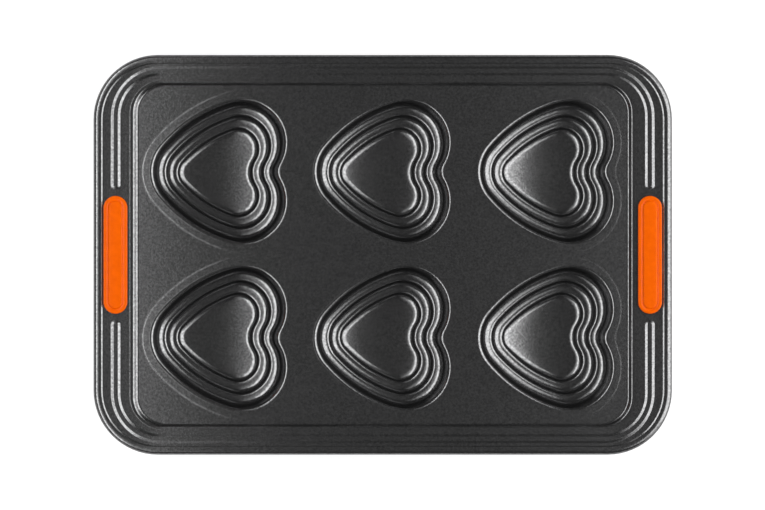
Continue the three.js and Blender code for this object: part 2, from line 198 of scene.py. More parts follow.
def grip_silicone():
    """An orange rubber with soft blotches of colour and a fine relief."""
    material, shader = new_material("grip_silicone", Specular_IOR_Level=0.12)
    waver_colour(
        material, noise(material, grain=5.0), ORANGE_DARK, ORANGE_LIGHT, shader.inputs["Base Color"],
    )
    waver_value(material, noise(material, grain=3.0), low=0.2, high=0.26, target=shader.inputs["Roughness"])
    relief(material, shader, noise(material, grain=0.35), depth=0.01)
    return material


steel = wire_steel()
silicone = grip_silicone()
print("finishes:", coat.name, steel.name, silicone.name)

# %% [markdown]
# ## Heart outlines
# A cup changes its heart from the mouth to the floor: the mouth is wide and round, the floor is small and
# pointed. A curve tool could trace a heart, but four tangent arcs say exactly what it is: a tip, a long
# side, a lobe and a notch, and their mirror image. Every outline gets the same number of stations on each
# arc, so that two outlines can be blended station by station.

# %% Four tangent arcs and their mirror image
NOTCH_STEPS, LOBE_STEPS, SIDE_STEPS, TIP_STEPS = 8, 22, 12, 10


def arc(centre, radius, start, end, steps):
    """Points of an arc with both its ends: the centre plus the radius along evenly spaced angles."""
    angles = np.linspace(start, end, steps + 1)
    return np.asarray(centre) + radius * np.column_stack([np.cos(angles), np.sin(angles)])


def turn_of(vector):
    """Angle of a vector from the X axis, from 0 to a full turn."""
    return math.atan2(vector[1], vector[0]) % math.tau


def heart(length, width, tip_radius, side_radius, lobe_radius, notch_radius, towards_tip=0):
    """Heart outline with its tip towards -X. The tip and lobe circles touch the side circle from inside,
    which fixes the side's centre by two distances; the notch circle touches the lobe from outside."""
    tip = np.array([tip_radius - length / 2, 0])
    lobe = np.array([length / 2 - lobe_radius, width / 2 - lobe_radius])
    span = lobe - tip
    reach = np.hypot(*span)
    from_tip = side_radius - tip_radius
    from_lobe = side_radius - lobe_radius
    along_span = (from_tip**2 - from_lobe**2 + reach**2) / (2 * reach)
    across_span = math.sqrt(from_tip**2 - along_span**2)
    unit = span / reach
    side = tip + along_span * unit + across_span * np.array([unit[1], -unit[0]])
    notch = np.array([lobe[0] + math.sqrt((lobe_radius + notch_radius) ** 2 - lobe[1] ** 2), 0])
    notch_turn = math.pi - turn_of(lobe - notch)
    lobe_turn = turn_of(lobe - side)
    tip_turn = turn_of(tip - side)
    upper = np.concatenate([
        arc(notch, notch_radius, math.pi, math.pi - notch_turn, NOTCH_STEPS)[:-1],
        arc(lobe, lobe_radius, -notch_turn, lobe_turn, LOBE_STEPS)[:-1],
        arc(side, side_radius, lobe_turn, tip_turn, SIDE_STEPS)[:-1],
        arc(tip, tip_radius, tip_turn, math.pi, TIP_STEPS),
    ])
    lower = upper[-2:0:-1] * (1, -1)
    return np.concatenate([upper, lower]) - (towards_tip, 0)


print("stations round a heart:", 2 * (NOTCH_STEPS + LOBE_STEPS + SIDE_STEPS + TIP_STEPS))

# %% [markdown]
# ## Three hearts
# Three outlines are needed: the mouth, the edge of the floor, and a ring on the deck round the mouth, a
# faint line that the press leaves. One heart drawn in or out could serve for all, but the floor is not
# the mouth drawn in by the same distance all round, so it has sizes of its own. The ring is the mouth
# moved outwards, with an easier notch.

# %% Mouth, floor and ring
MOUTH_LENGTH, MOUTH_WIDTH = 90.4, 98.2
MOUTH_TIP, MOUTH_SIDE, MOUTH_LOBE, MOUTH_NOTCH = 26.3, 99.0, 29.0, 10.5
FLOOR_LENGTH, FLOOR_WIDTH, FLOOR_TOWARDS_TIP = 53.4, 58.9, 1.2
FLOOR_TIP, FLOOR_SIDE, FLOOR_LOBE, FLOOR_NOTCH = 10.0, 81.6, 13.4, 16.2
RING_REACH, RING_NOTCH = 8.4, 20.0

mouth = heart(MOUTH_LENGTH, MOUTH_WIDTH, MOUTH_TIP, MOUTH_SIDE, MOUTH_LOBE, MOUTH_NOTCH)
floor_edge = heart(
    FLOOR_LENGTH, FLOOR_WIDTH, FLOOR_TIP, FLOOR_SIDE, FLOOR_LOBE, FLOOR_NOTCH, FLOOR_TOWARDS_TIP,
)
ring_edge = heart(
    MOUTH_LENGTH + 2 * RING_REACH, MOUTH_WIDTH + 2 * RING_REACH,
    MOUTH_TIP + RING_REACH, MOUTH_SIDE + RING_REACH, MOUTH_LOBE + RING_REACH, RING_NOTCH,
)
heart_widths = [round(float(np.ptp(outline[:, 1])), 1) for outline in (mouth, floor_edge, ring_edge)]
print("widths of mouth, floor and ring in mm:", heart_widths)

# %% [markdown]
# ## Section of a cup
# From the deck down a cup has a wall, a tread, a riser, a second tread and riser, and the floor. A
# toolmaker would draw that as steps, so much in and so much down, with a radius for each bend: narrow
# where the sheet turns over a nose, wider where it turns up from a tread. The section is written that
# way too.

# %% Steps and bends of the cup section
SHEET = 0.9
CUP_STEPS = np.array([[2.9, 13.2], [5.6, 0.55], [1.75, 6.85], [5.9, 0.55], [1.75, 6.85]])
CUP_RADII = [2.2, 5.5, 1.8, 5.0, 1.8, 4.2]
CUP_BEND_STEPS = [6, 6, 4, 6, 4, 7]
CUP_RUN, CUP_DEPTH = CUP_STEPS.sum(axis=0)
DECK_Z = SHEET + CUP_DEPTH
LEVEL_LEAD = (1, 0)


def rounded_section(corners, radii, steps):
    """A section with each inner corner replaced by an arc that is tangent to both of its sides. The first
    and the last corner only give directions. An extra point at the middle of each side keeps the shading
    of the flats flat."""
    bends = []
    for before, corner, after, radius, count in zip(corners, corners[1:], corners[2:], radii, steps):
        way_in = (corner - before) / np.hypot(*(corner - before))
        way_out = (after - corner) / np.hypot(*(after - corner))
        turn = math.atan2(way_in[0] * way_out[1] - way_in[1] * way_out[0], way_in @ way_out)
        tangent = radius * math.tan(abs(turn) / 2)
        to_centre = np.array([-way_in[1], way_in[0]]) * math.copysign(1, turn)
        centre = corner - tangent * way_in + radius * to_centre
        start = turn_of(-to_centre)
        bends.append(arc(centre, radius, start, start + turn, count))
    joined = bends[:1]
    for bend in bends[1:]:
        joined.append((joined[-1][-1:] + bend[:1]) / 2)
        joined.append(bend)
    return np.concatenate(joined)


steps_down = np.cumsum(CUP_STEPS * (1, -1), axis=0)
cup_corners = np.concatenate([[-np.array(LEVEL_LEAD), (0, 0)], steps_down, steps_down[-1:] + LEVEL_LEAD])
section = rounded_section(cup_corners + (0, DECK_Z), CUP_RADII, CUP_BEND_STEPS)
print("points in the section:", len(section), "down to", round(section[-1, 1], 2), "mm")

# %% [markdown]
# ## Ring and step round the mouth
# The light shows two more forms on the deck, both far lower than the sheet is thick: the ring, and a fine
# step close to the mouth. A bump in the coat could fake them, but then the mesh would be without them. So
# each is a soft ramp up to a small height, which is kept as far as the mouth and then fades out down the
# wall. They get arrays of their own beside the section: for every point its distance from the mouth, its
# level, and how much of each form it has.

# %% Soft ramps outside the mouth
RING_RUN, RING_MARGIN, RING_POINTS = 1.7, 0.5, 7
STEP_FROM, STEP_RUN, STEP_POINTS = -2.7, 0.5, 5
LIFT_FADE = 5.0


def soft_ramp(t, easing=0.5):
    """From 0 to 1 by a parabola, a straight line and a parabola; easing is the share of each parabola."""
    t = np.clip(t, 0, 1)
    slope = 1 / (1 - easing)
    rising = slope * t**2 / (2 * easing)
    straight = slope * (t - easing / 2)
    settling = 1 - slope * (1 - t) ** 2 / (2 * easing)
    return np.where(t < easing, rising, np.where(t > 1 - easing, settling, straight))


ring_ramp = np.linspace(0, 1, RING_POINTS)
step_ramp = np.linspace(0, 1, STEP_POINTS)
ring_distance = RING_RUN * ring_ramp - RING_REACH + RING_MARGIN
step_distance = STEP_FROM + STEP_RUN * step_ramp
fading_lift = 1 - soft_ramp(section[:, 0] / LIFT_FADE)
cup_distance = np.concatenate([[-RING_REACH], ring_distance, step_distance, section[:, 0]])
cup_level = np.concatenate([np.full(1 + RING_POINTS + STEP_POINTS, DECK_Z), section[:, 1]])
ring_lift = np.concatenate([[0], soft_ramp(ring_ramp), np.ones(STEP_POINTS), fading_lift])
step_lift = np.concatenate([np.zeros(1 + RING_POINTS), soft_ramp(step_ramp), fading_lift])
print("points from the ring to the floor:", len(cup_distance))

# %% [markdown]
# ## Surface of a cup
# A cup could be bridged from a few edge loops, but that joins them by straight walls. As an array of ring
# by station, the section is carried round the heart with all its bends. The floor is filled with smaller
# and smaller copies of its own edge. It is a very shallow bowl: a flat floor would mirror one grey all
# over, but a real one is lighter towards one side. The mouth reaches a little further out at the lobes
# than the two outlines alone would make it.

# %% Grid of a cup
LOBE_STRETCH, LOBE_STRETCH_FROM, LOBE_STRETCH_DEPTH = 1.1, 25.0, 0.8
FLOOR_RINGS, INNERMOST_RING = 4, 0.08
BOWL_CENTRE, BOWL_RADII = np.array([5.0, 0.0]), np.array([170.0, 350.0])
BOWL_TOP = SHEET + CUP_STEPS[-1, 1]
STEP_HEIGHT = 0.05


def down_to_floor(values):
    """Values of the rings from the deck to the floor's edge, with the last one repeated for the floor."""
    return np.pad(values, (0, FLOOR_RINGS), mode="edge")[:, None]


def cup_outlines():
    """Outlines of all rings: inside the mouth a blend of mouth and floor outlines by distance, outside it
    one of mouth and ring outlines, and on the floor the last one drawn in towards the bowl's centre."""
    distance = cup_distance[:, None, None]
    inside = mouth + (floor_edge - mouth) * distance / CUP_RUN
    outside = mouth - (ring_edge - mouth) * distance / RING_REACH
    plan = np.where(distance > 0, inside, outside)
    stretch = LOBE_STRETCH * soft_ramp(mouth[:, 0] / LOBE_STRETCH_FROM)
    fade = soft_ramp(cup_distance / LOBE_STRETCH_DEPTH) + soft_ramp(-cup_distance / RING_REACH)
    plan[..., 0] += stretch * (1 - fade[:, None])
    shrink = np.linspace(1, INNERMOST_RING, FLOOR_RINGS + 1)[1:, None, None]
    return np.concatenate([plan, BOWL_CENTRE + (plan[-1] - BOWL_CENTRE) * shrink])


def cup_heights(plan):
    """Level of each ring, plus the bowl, a parabola along X and one along Y that counts fully on the floor
    and not at all above the last riser, plus the fine step, which is there on the tip side only."""
    level = down_to_floor(cup_level)
    bowl_share = np.clip((BOWL_TOP - level) / (BOWL_TOP - SHEET), 0, 1)
    bowl = ((plan - BOWL_CENTRE) ** 2 / (2 * BOWL_RADII)).sum(axis=-1)
    on_tip_side = soft_ramp(0.5 - mouth[:, 0] / np.ptp(mouth[:, 0]))
    return level + bowl_share * bowl + STEP_HEIGHT * down_to_floor(step_lift) * on_tip_side


cup_plan = cup_outlines()
cup_height = cup_heights(cup_plan)
print("cup rings by stations:", cup_height.shape)

# %% [markdown]
# ## Six cups
# All cups have the same grid. Only the ring differs: it is highest near the two ends of the pan and fades
# out towards the middle. Six copies of one object would be simpler, but the pan is one sheet. So a cup is
# the grid moved to its place, with the ring added there, and all six go into one mesh later.

# %% A cup at its place
COLUMN_PITCH, ROW_PITCH, CUPS_TOWARDS_TIPS = 113.3, 115.3, 0.55
LEFT_RING, RIGHT_RING = 0.2, 0.06
RING_FADE_FROM, RING_FADE_RUN = 60.0, 90.0


def with_height(plan, height):
    """Plan points with a height for each ring, or for each point, as an array of ring by station by xyz."""
    height = np.broadcast_to(np.asarray(height, float).reshape(len(plan), -1), plan.shape[:2])
    return np.concatenate([plan, height[..., None]], axis=-1)


def cup_points(centre):
    """The grid moved to its centre, and the ring's lift times its height at each point's X."""
    plan = cup_plan + centre
    near_end = soft_ramp((np.abs(plan[..., 0]) - RING_FADE_FROM) / RING_FADE_RUN)
    ring_height = near_end * np.where(plan[..., 0] < 0, LEFT_RING, RIGHT_RING)
    return with_height(plan, cup_height + down_to_floor(ring_lift) * ring_height)


cups = [
    cup_points((column * COLUMN_PITCH - CUPS_TOWARDS_TIPS, row * ROW_PITCH))
    for column in (-1, 0, 1) for row in (-0.5, 0.5)
]
print("cups:", len(cups))

# %% [markdown]
# ## Rim tracks
# The rim is one profile carried round the pan. A curve with a bevel could carry it, but the flange is
# wider at the ends than at the sides, and its corners have different radii inside and outside. So it
# follows two rounded rectangles, one at the foot of the deck's wall and one at the outer edge. Stations
# with the same number on both tracks belong together. Along the ends they are listed one by one, close
# together where the rib comes to its end.

# %% Stations on two rounded rectangles
CORNER_STEPS = 16
DECK_TRACK = (170.3, 117.2, 19.0)
EDGE_TRACK = (cad_size.x / 2, cad_size.y / 2, 44.5)
END_STATIONS = np.array([
    50.3, 49.5, 48.9, 48.3, 47.8, 47.3, 46.8, 46.4, 46.0, 45.6, 45.1, 44.4, 43.5, 42.6, 20.0, 0.0,
])


def track(half_length, half_width, radius, grow):
    """Points of a rounded rectangle grown by each distance in grow, as an array of grow by station. A corner
    is its centre plus the grown radius along each angle; on the ends the stations are at given Y."""
    grow = np.asarray(grow, float)[:, None]
    quarter = np.linspace(0, math.pi / 2, CORNER_STEPS + 1)
    turns = np.concatenate([quarter + k * math.pi / 2 for k in range(4)])
    signs = np.array([[1, 1], [-1, 1], [-1, -1], [1, -1]]).repeat(CORNER_STEPS + 1, axis=0)
    x = signs[:, 0] * (half_length - radius) + (radius + grow) * np.cos(turns)
    y = signs[:, 1] * (half_width - radius) + (radius + grow) * np.sin(turns)
    ends = np.concatenate([END_STATIONS, -END_STATIONS[-2::-1]])
    left_x = np.repeat(-(half_length + grow), len(ends), axis=1)
    left_y = np.tile(ends, (len(grow), 1))
    half = 2 * (CORNER_STEPS + 1)
    all_x = np.concatenate([x[:, :half], left_x, x[:, half:], -left_x], axis=1)
    all_y = np.concatenate([y[:, :half], left_y, y[:, half:], -left_y], axis=1)
    return np.stack([all_x, all_y], axis=-1)


print("stations round the rim:", track(*DECK_TRACK, [0]).shape[1])

# %% [markdown]
# ## Levels of the rim
# The bead is as thick as the wire, its clearance and the sheet make it, and its middle lies a little below
# the flange. The flange is not level: it falls from the bead to the wall. At the ends the slots and the
# grips follow that slope, so its height there is a function that both use.

# %% Heights and widths that the parts of the rim share
WIRE_RADIUS, CLEARANCE = 2.1, 0.3
BEAD_RADIUS = WIRE_RADIUS + CLEARANCE + SHEET
RIM_HEIGHT, BEAD_BELOW = 3.4, 2.1
BEAD_Z = DECK_Z + RIM_HEIGHT - BEAD_BELOW
BEAD_REACH = BEAD_RADIUS + math.sqrt(BEAD_RADIUS**2 - BEAD_BELOW**2)
FLANGE_LIFT, FLANGE_FALL = 0.4, 1.2
FLANGE_Z = DECK_Z + RIM_HEIGHT + FLANGE_LIFT
WALL_MIDDLE, END_WALL_RUN = 0.84, 2.4
WALL_TOP = WALL_MIDDLE + END_WALL_RUN / 2
END_FLANGE = EDGE_TRACK[0] - BEAD_REACH - DECK_TRACK[0] - WALL_TOP
END_SLOPE = FLANGE_FALL / END_FLANGE


def end_flange_z(x):
    """Height of the flange at the pan's ends: it falls evenly from the foot of the bead to the wall."""
    return FLANGE_Z - END_SLOPE * (EDGE_TRACK[0] - BEAD_REACH - np.abs(x))


print(f"end flange {END_FLANGE:.2f} mm wide, falling by {FLANGE_FALL} mm")

# %% [markdown]
# ## Bead
# The sheet is curled round the wire. Its edge is underneath, with the curl left open there. From that edge
# the sheet goes round the outside and over the top, leaves the circle just past it, and comes down to the
# flange over a shoulder and a foot with tight bends: the two thin lines of light beside the bead. A plain
# tube would have no such lines, so all of it is one section carried round the outer track.

# %% Curl, shoulder and foot
CURL_END, CURL_POINTS = math.radians(-150), 20
BEAD_LEAVE = math.radians(8)
BEAD_SHOULDER, BEAD_FOOT = 5.5, 6.35
BEAD_FILLET, SHOULDER_STEPS, FOOT_STEPS = 0.5, 5, 6


def bead_rings():
    """The curl's circle, and then a section of straight sides and arcs: along the tangent to the shoulder,
    down to the foot and on along the flange. Distances are measured inwards from the outer track."""
    around = np.linspace(CURL_END, math.pi / 2 + BEAD_LEAVE, CURL_POINTS)
    curl = np.column_stack([BEAD_RADIUS * (1 - np.cos(around)), BEAD_Z + BEAD_RADIUS * np.sin(around)])
    shoulder_z = curl[-1, 1] - (BEAD_SHOULDER - curl[-1, 0]) * math.tan(BEAD_LEAVE)
    foot_z = FLANGE_Z - (BEAD_FOOT - BEAD_REACH) * END_SLOPE
    corners = np.array([
        curl[-1], [BEAD_SHOULDER, shoulder_z], [BEAD_FOOT, foot_z], [BEAD_FOOT + 1, foot_z - END_SLOPE],
    ])
    way_down = rounded_section(corners, [BEAD_FILLET, BEAD_FILLET], [SHOULDER_STEPS, FOOT_STEPS])
    bead = np.concatenate([curl, way_down])
    return with_height(track(*EDGE_TRACK, -bead[:, 0]), bead[:, 1])


bead = bead_rings()
print("bead rings:", len(bead))

# %% [markdown]
# ## Flange
# The flange is the strip between the bead and the wall, with a rib and a ledge pressed into it. A point of
# it is found by its distance from the bead, straight towards the wall. That way rib and ledge only need a
# distance and a height for each ring and station, whatever the width of the flange is there.

# %% Straight ways from the bead to the wall
RIB_TOWARDS_EDGE = 1.35
TOLERANCE = 1e-6

flange_outer = track(*EDGE_TRACK, [-BEAD_REACH])[0]
flange_inner = track(*DECK_TRACK, [WALL_TOP])[0]
flange_width = np.hypot(*(flange_inner - flange_outer).T)
flange_inwards = (flange_inner - flange_outer) / flange_width[:, None]
rib_crest = flange_width / 2 - RIB_TOWARDS_EDGE
on_ends = np.abs(np.abs(flange_outer[:, 0]) - EDGE_TRACK[0] + BEAD_REACH) < TOLERANCE
print(f"flange {flange_width.min():.1f} to {flange_width.max():.1f} mm wide")

# %% [markdown]
# ## Rib
# A flat rib runs round the flange and stiffens it, and stops short of the grips with a round end. A strip
# laid on the flange would leave a sharp seam at its sides, so the sheet itself rises, with soft bends.

# %% Rib on the flange
RIB_HEIGHT, RIB_HALF, RIB_CREST_HALF, RIB_MARGIN = 0.85, 3.4, 1.4, 0.3
RIB_STOP, RIB_END_RUN = 45.5, 2.5
RIB_EASING = 0.12
RIB_SIDE_SHARES = np.array([0, RIB_EASING / 2, RIB_EASING, 0.5, 1 - RIB_EASING, 1 - RIB_EASING / 2, 1])


def rib():
    """Distances from the bead and heights. The height is a ramp of the distance from the crest line, and
    past the end of that line of the distance from its end, so that the rib ends round."""
    side = RIB_CREST_HALF + (RIB_HALF - RIB_CREST_HALF) * RIB_SIDE_SHARES
    half = np.concatenate([[0, RIB_CREST_HALF / 2], side, [RIB_HALF + RIB_MARGIN]])
    across = np.concatenate([-half[:0:-1], half])[:, None]
    past_end = np.where(on_ends, np.maximum(RIB_STOP + RIB_END_RUN - np.abs(flange_outer[:, 1]), 0), 0)
    reach = np.hypot(across / RIB_HALF, past_end / RIB_END_RUN)
    height = RIB_HEIGHT * soft_ramp((1 - reach) / (1 - RIB_CREST_HALF / RIB_HALF), RIB_EASING)
    return rib_crest + across, height


print("rib rings:", len(rib()[0]))

# %% [markdown]
# ## Ledge
# Inside the rib is a ledge, hardly higher than a sheet of paper is thick, which shows as a thin line on
# the left. It could keep a fixed distance from the rib, but at the sides there is less room than at the
# ends, so it is placed by shares of what is left of the flange.

# %% Ledge, and the flange as a whole
LEDGE_START, LEDGE_SLOPE, LEDGE_STEP, LEDGE_DROP = 0.17, (0.25, 0.65), (0.78, 0.85), (0.86, 1.0)
LEDGE_SLOPE_HEIGHT, LEDGE_STEP_HEIGHT = 0.03, 0.09
LEDGE_POINTS = 5
WALL_TANGENT = 1.0


def ledge():
    """Distances from the bead and heights, by shares of the flange that is left inside the rib. The ledge
    rises slowly, then by a step that fades out towards the right end, and drops back before the wall."""
    left_over = flange_width - rib_crest - RIB_HALF - WALL_TANGENT
    places = [np.linspace(*span, LEDGE_POINTS) for span in (LEDGE_SLOPE, LEDGE_STEP, LEDGE_DROP)]
    share = np.concatenate([[LEDGE_START], *places])[:, None]
    slope, step, drop = (
        soft_ramp((share - start) / (end - start)) for start, end in (LEDGE_SLOPE, LEDGE_STEP, LEDGE_DROP)
    )
    step = step * soft_ramp(0.5 - flange_outer[:, 0] / (2 * EDGE_TRACK[0]))
    height = (LEDGE_SLOPE_HEIGHT * slope + LEDGE_STEP_HEIGHT * step) * (1 - drop)
    return rib_crest + RIB_HALF + share * left_over, height * left_over / left_over.max()


def flange_rings():
    """Rib and ledge on the falling flange: the outer line plus the distance along each way inwards."""
    distance, rise = (np.concatenate(parts) for parts in zip(rib(), ledge()))
    plan = flange_outer + flange_inwards * distance[..., None]
    return with_height(plan, FLANGE_Z - FLANGE_FALL * distance / flange_width + rise)


flange = flange_rings()
print("flange rings:", len(flange))

# %% [markdown]
# ## Wall
# A short wall goes down from the flange to the deck. At the sides of the pan it is a little steeper than
# at the ends, and in the corners one turns into the other. Scaling one wall would change its bends too, so
# both are drawn, with the same bends, and blended.

# %% Two wall sections, blended
SIDE_WALL_RUN = 2.0
WALL_FILLET, WALL_BEND_STEPS = 1.8, 7
DECK_MARGIN = 0.6


def wall_section(run):
    """The wall as a straight side with an arc at its shoulder and at its foot, and a point on the deck."""
    top = WALL_MIDDLE + run / 2
    foot = WALL_MIDDLE - run / 2
    top_z = FLANGE_Z - FLANGE_FALL
    corners = np.array([[top + 1, top_z + END_SLOPE], [top, top_z], [foot, DECK_Z], [foot - 1, DECK_Z]])
    wall = rounded_section(corners, [WALL_FILLET, WALL_FILLET], [WALL_BEND_STEPS, WALL_BEND_STEPS])
    return np.concatenate([wall, wall[-1:] - (DECK_MARGIN, 0)])


def wall_rings():
    """The wall of the ends and that of the sides, blended by the square of the track's outward X."""
    outward = np.diff(track(*DECK_TRACK, [0, 1]), axis=0)[0]
    at_end = (outward[:, 0] ** 2)[:, None]
    end_wall, side_wall = (wall_section(run) for run in (END_WALL_RUN, SIDE_WALL_RUN))
    end_rings = with_height(track(*DECK_TRACK, end_wall[:, 0]), end_wall[:, 1])
    side_rings = with_height(track(*DECK_TRACK, side_wall[:, 0]), side_wall[:, 1])
    return side_rings + (end_rings - side_rings) * at_end


rim = np.concatenate([bead, flange, wall_rings()])
print("rim rings by stations:", rim.shape[:2])

# %% [markdown]
# ## One sheet
# The rim and the six cups are grids, and grids of equal rings make quads. What is left is flat: the deck
# between the cups, and the flange round each grip's slot. A flat area with holes is no grid, so it is cut
# into triangles by Blender's tessellator, on the points that the grids already have. That keeps one sheet
# without seams.

# %% Faces of grids and of flat areas
def numbered(grids):
    """Vertex numbers of grids that share one mesh, for each grid as an array of ring by station."""
    ends = np.cumsum([grid[..., 0].size for grid in grids])
    runs = np.split(np.arange(ends[-1]), ends[:-1])
    return [run.reshape(grid.shape[:2]) for run, grid in zip(runs, grids)]


def ring_quads(numbers):
    """Quads between neighbouring closed rings of vertex numbers, as an array by ring, station and corner."""
    following = np.roll(numbers, -1, axis=1)
    return np.stack([numbers[:-1], following[:-1], following[1:], numbers[1:]], axis=-1)


def flat_fill(points, outline, holes):
    """Triangles that face up, inside one loop of vertex numbers and outside the other loops."""
    loops = [outline, *holes]
    numbers = np.concatenate(loops)
    triangles = np.array(tessellate_polygon([[Vector(p) for p in points[loop]] for loop in loops]))
    a, b, c = (points[numbers[triangles[:, k]]] for k in range(3))
    faces_down = np.cross(b - a, c - a)[:, 2] < 0
    triangles[faces_down] = triangles[faces_down][:, ::-1]
    return numbers[triangles]


print("quads in the rim:", ring_quads(*numbered([rim]))[..., 0].size)

# %% [markdown]
# ## Slots
# Each grip is pushed through a slot in the flange, a round-ended hole a little larger than the grip's neck.
# A block of the rim's quads is taken out round it, and what lies between the block's border and the hole
# is a flat fill. A narrow lip of quads round the hole keeps the shading of the fill flat.

# %% Slots in the end flanges
GRIP_WIDTH, GRIP_LENGTH, GRIP_LAP, GRIP_GAP = 16.4, 81.5, 3.2, 1.3
GRIP_X = EDGE_TRACK[0] - BEAD_REACH - GRIP_GAP - GRIP_WIDTH / 2
GRIP_HALF_STRAIGHT = (GRIP_LENGTH - GRIP_WIDTH) / 2
GRIP_END_STEPS = 20
SLOT_HALF, SLOT_LIP, SLOT_STATION = GRIP_WIDTH / 2 - GRIP_LAP, 0.5, 43.0


def stadium(centre_x, half_width, half_straight):
    """Round-ended outline, counter-clockwise: two half circles."""
    upper = arc((centre_x, half_straight), half_width, 0, math.pi, GRIP_END_STEPS)
    lower = arc((centre_x, -half_straight), half_width, math.pi, math.tau, GRIP_END_STEPS)
    return np.concatenate([upper, lower])


def slot_rings(side):
    """The outer edge of the lip and the edge of the hole, on the slope of the flange."""
    halves = (SLOT_HALF + SLOT_LIP, SLOT_HALF)
    plan = np.stack([stadium(side * GRIP_X, half, GRIP_HALF_STRAIGHT) for half in halves])
    return with_height(plan, end_flange_z(plan[..., 0]))


def slot_block(side, numbers):
    """Vertex numbers of the flat stretch of flange round the slot on one side of the pan: the stations near
    the slot, and the first unbroken run of rings that are level with the flange there."""
    near_slot = np.abs(rim[0, :, 1]) < SLOT_STATION
    above_flange = rim[:, near_slot, 2] - end_flange_z(rim[:, near_slot, 0])
    level = (np.abs(above_flange) < TOLERANCE).all(axis=1)
    first_ring = level.argmax()
    last_ring = first_ring + (~level[first_ring:]).argmax()
    columns = np.flatnonzero(near_slot & (rim[0, :, 0] * side > 0))
    return numbers[first_ring:last_ring, columns[0]:columns[-1] + 1]


print(f"slots {2 * SLOT_HALF:.1f} mm wide, {2 * (GRIP_HALF_STRAIGHT + SLOT_HALF):.1f} mm long")

# %% [markdown]
# ## Pan
# Now the grids and the fills become one mesh. It is the upper skin of the sheet, and a Solidify modifier
# gives it its thickness downwards. By hand that would take a second set of grids and fills, and faces to
# join the two skins at every edge.

# %% The pan as a mesh
def pressed_pan():
    """All points and faces of the sheet: the rim without its two slot blocks, the lips of the slots, the
    cups with a face that closes each floor, and the flat fills."""
    grids = [rim, slot_rings(-1), slot_rings(1), *cups]
    points = np.concatenate([grid.reshape(-1, 3) for grid in grids])
    rim_numbers, left_lip, right_lip, *cup_numbers = numbered(grids)
    rim_quads = ring_quads(rim_numbers)
    keep = np.ones(rim_quads.shape[:2], bool)
    fills = []
    for side, lip in ((-1, left_lip), (1, right_lip)):
        block = slot_block(side, rim_numbers)
        keep &= ~np.isin(rim_quads, block).all(axis=-1)
        border = np.concatenate([block[0, :-1], block[:-1, -1], block[-1, :0:-1], block[:0:-1, 0]])
        fills.append(flat_fill(points, border, [lip[0]]))
    fills.append(flat_fill(points, rim_numbers[-1], [cup[0] for cup in cup_numbers]))
    other_quads = [ring_quads(grid).reshape(-1, 4) for grid in (left_lip, right_lip, *cup_numbers)]
    quads = np.concatenate([rim_quads[keep], *other_quads]).tolist()
    floors = [cup[-1].tolist() for cup in cup_numbers]
    return points, quads + floors + np.concatenate(fills).tolist()


def new_piece(name, points, faces, material, node):
    """A smooth mesh object in metres that rides on the pan's body and stands for a CAD node."""
    mesh = bpy.data.meshes.new(name)
    mesh.from_pydata((points * MM).tolist(), [], faces)
    mesh.shade_smooth()
    mesh.materials.append(material)
    piece = bpy.data.objects.new(name, mesh)
    scene.collection.objects.link(piece)
    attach(piece, "root")
    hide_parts(node)
    return piece


pan_points, pan_faces = pressed_pan()
pan = new_piece("pressed_pan", pan_points, pan_faces, coat, "pan_shell")
thickness = pan.modifiers.new("sheet_thickness", "SOLIDIFY")
thickness.thickness = SHEET * MM
thickness.offset = -1
thickness.use_even_offset = True
print("pan:", len(pan_points), "points,", len(pan_faces), "faces before its thickness")

# %% [markdown]
# ## Wire
# A round rod bent to the pan's outline lies in the curl and stiffens the edge. It shows only from below,
# in the open side of the curl. A bevelled curve would do, but the outer track is already there: the wire
# is a circle carried round it.

# %% Circle round the outer track
WIRE_STEPS = 16


def wire_grid():
    """Rings of the wire: for each angle of its circle, the outer track moved in to that side."""
    angles = np.arange(WIRE_STEPS) * math.tau / WIRE_STEPS
    plan = track(*EDGE_TRACK, WIRE_RADIUS * np.cos(angles) - BEAD_RADIUS)
    return with_height(plan, BEAD_Z + WIRE_RADIUS * np.sin(angles))


wire_rings = wire_grid()
wire_numbers = numbered([wire_rings])[0]
wire_quads = ring_quads(np.concatenate([wire_numbers, wire_numbers[:1]])).reshape(-1, 4).tolist()
wire = new_piece("edge_wire", wire_rings.reshape(-1, 3), wire_quads, steel, "rim_wire")
print("wire:", len(wire.data.vertices), "points")

# %% [markdown]
# ## Grips
# Each grip is a silicone plug pushed through the slot: a pad above the flange and one below, with a neck
# between them. The upper pad has a raised panel with a groove round it. All levels of a grip are the same
# round-ended outline, drawn in by some distance, so the grip is a stack of outlines that starts on the
# middle line of its underside and ends on that of its top. Every level follows the slope of the flange.

# %% Section of a grip from underside to top
PAD_THICKNESS, PAD_FILLET = 1.8, 0.8
NECK_INSET, NECK_FILLET = GRIP_LAP + CLEARANCE, 0.2
PANEL_INSET, PANEL_RAISE, PANEL_RUN, PANEL_FILLET = 3.1, 0.5, 0.9, 0.4
GROOVE_WIDTH, GROOVE_DEPTH, GROOVE_FILLET = 1.1, 0.5, 0.2
GRIP_RADII = [PAD_FILLET] + [NECK_FILLET] * 4 + [PAD_FILLET, PANEL_FILLET, GROOVE_FILLET, PANEL_FILLET]
GRIP_BEND_STEPS = [5] + [2] * 4 + [6, 4, 4, 4]


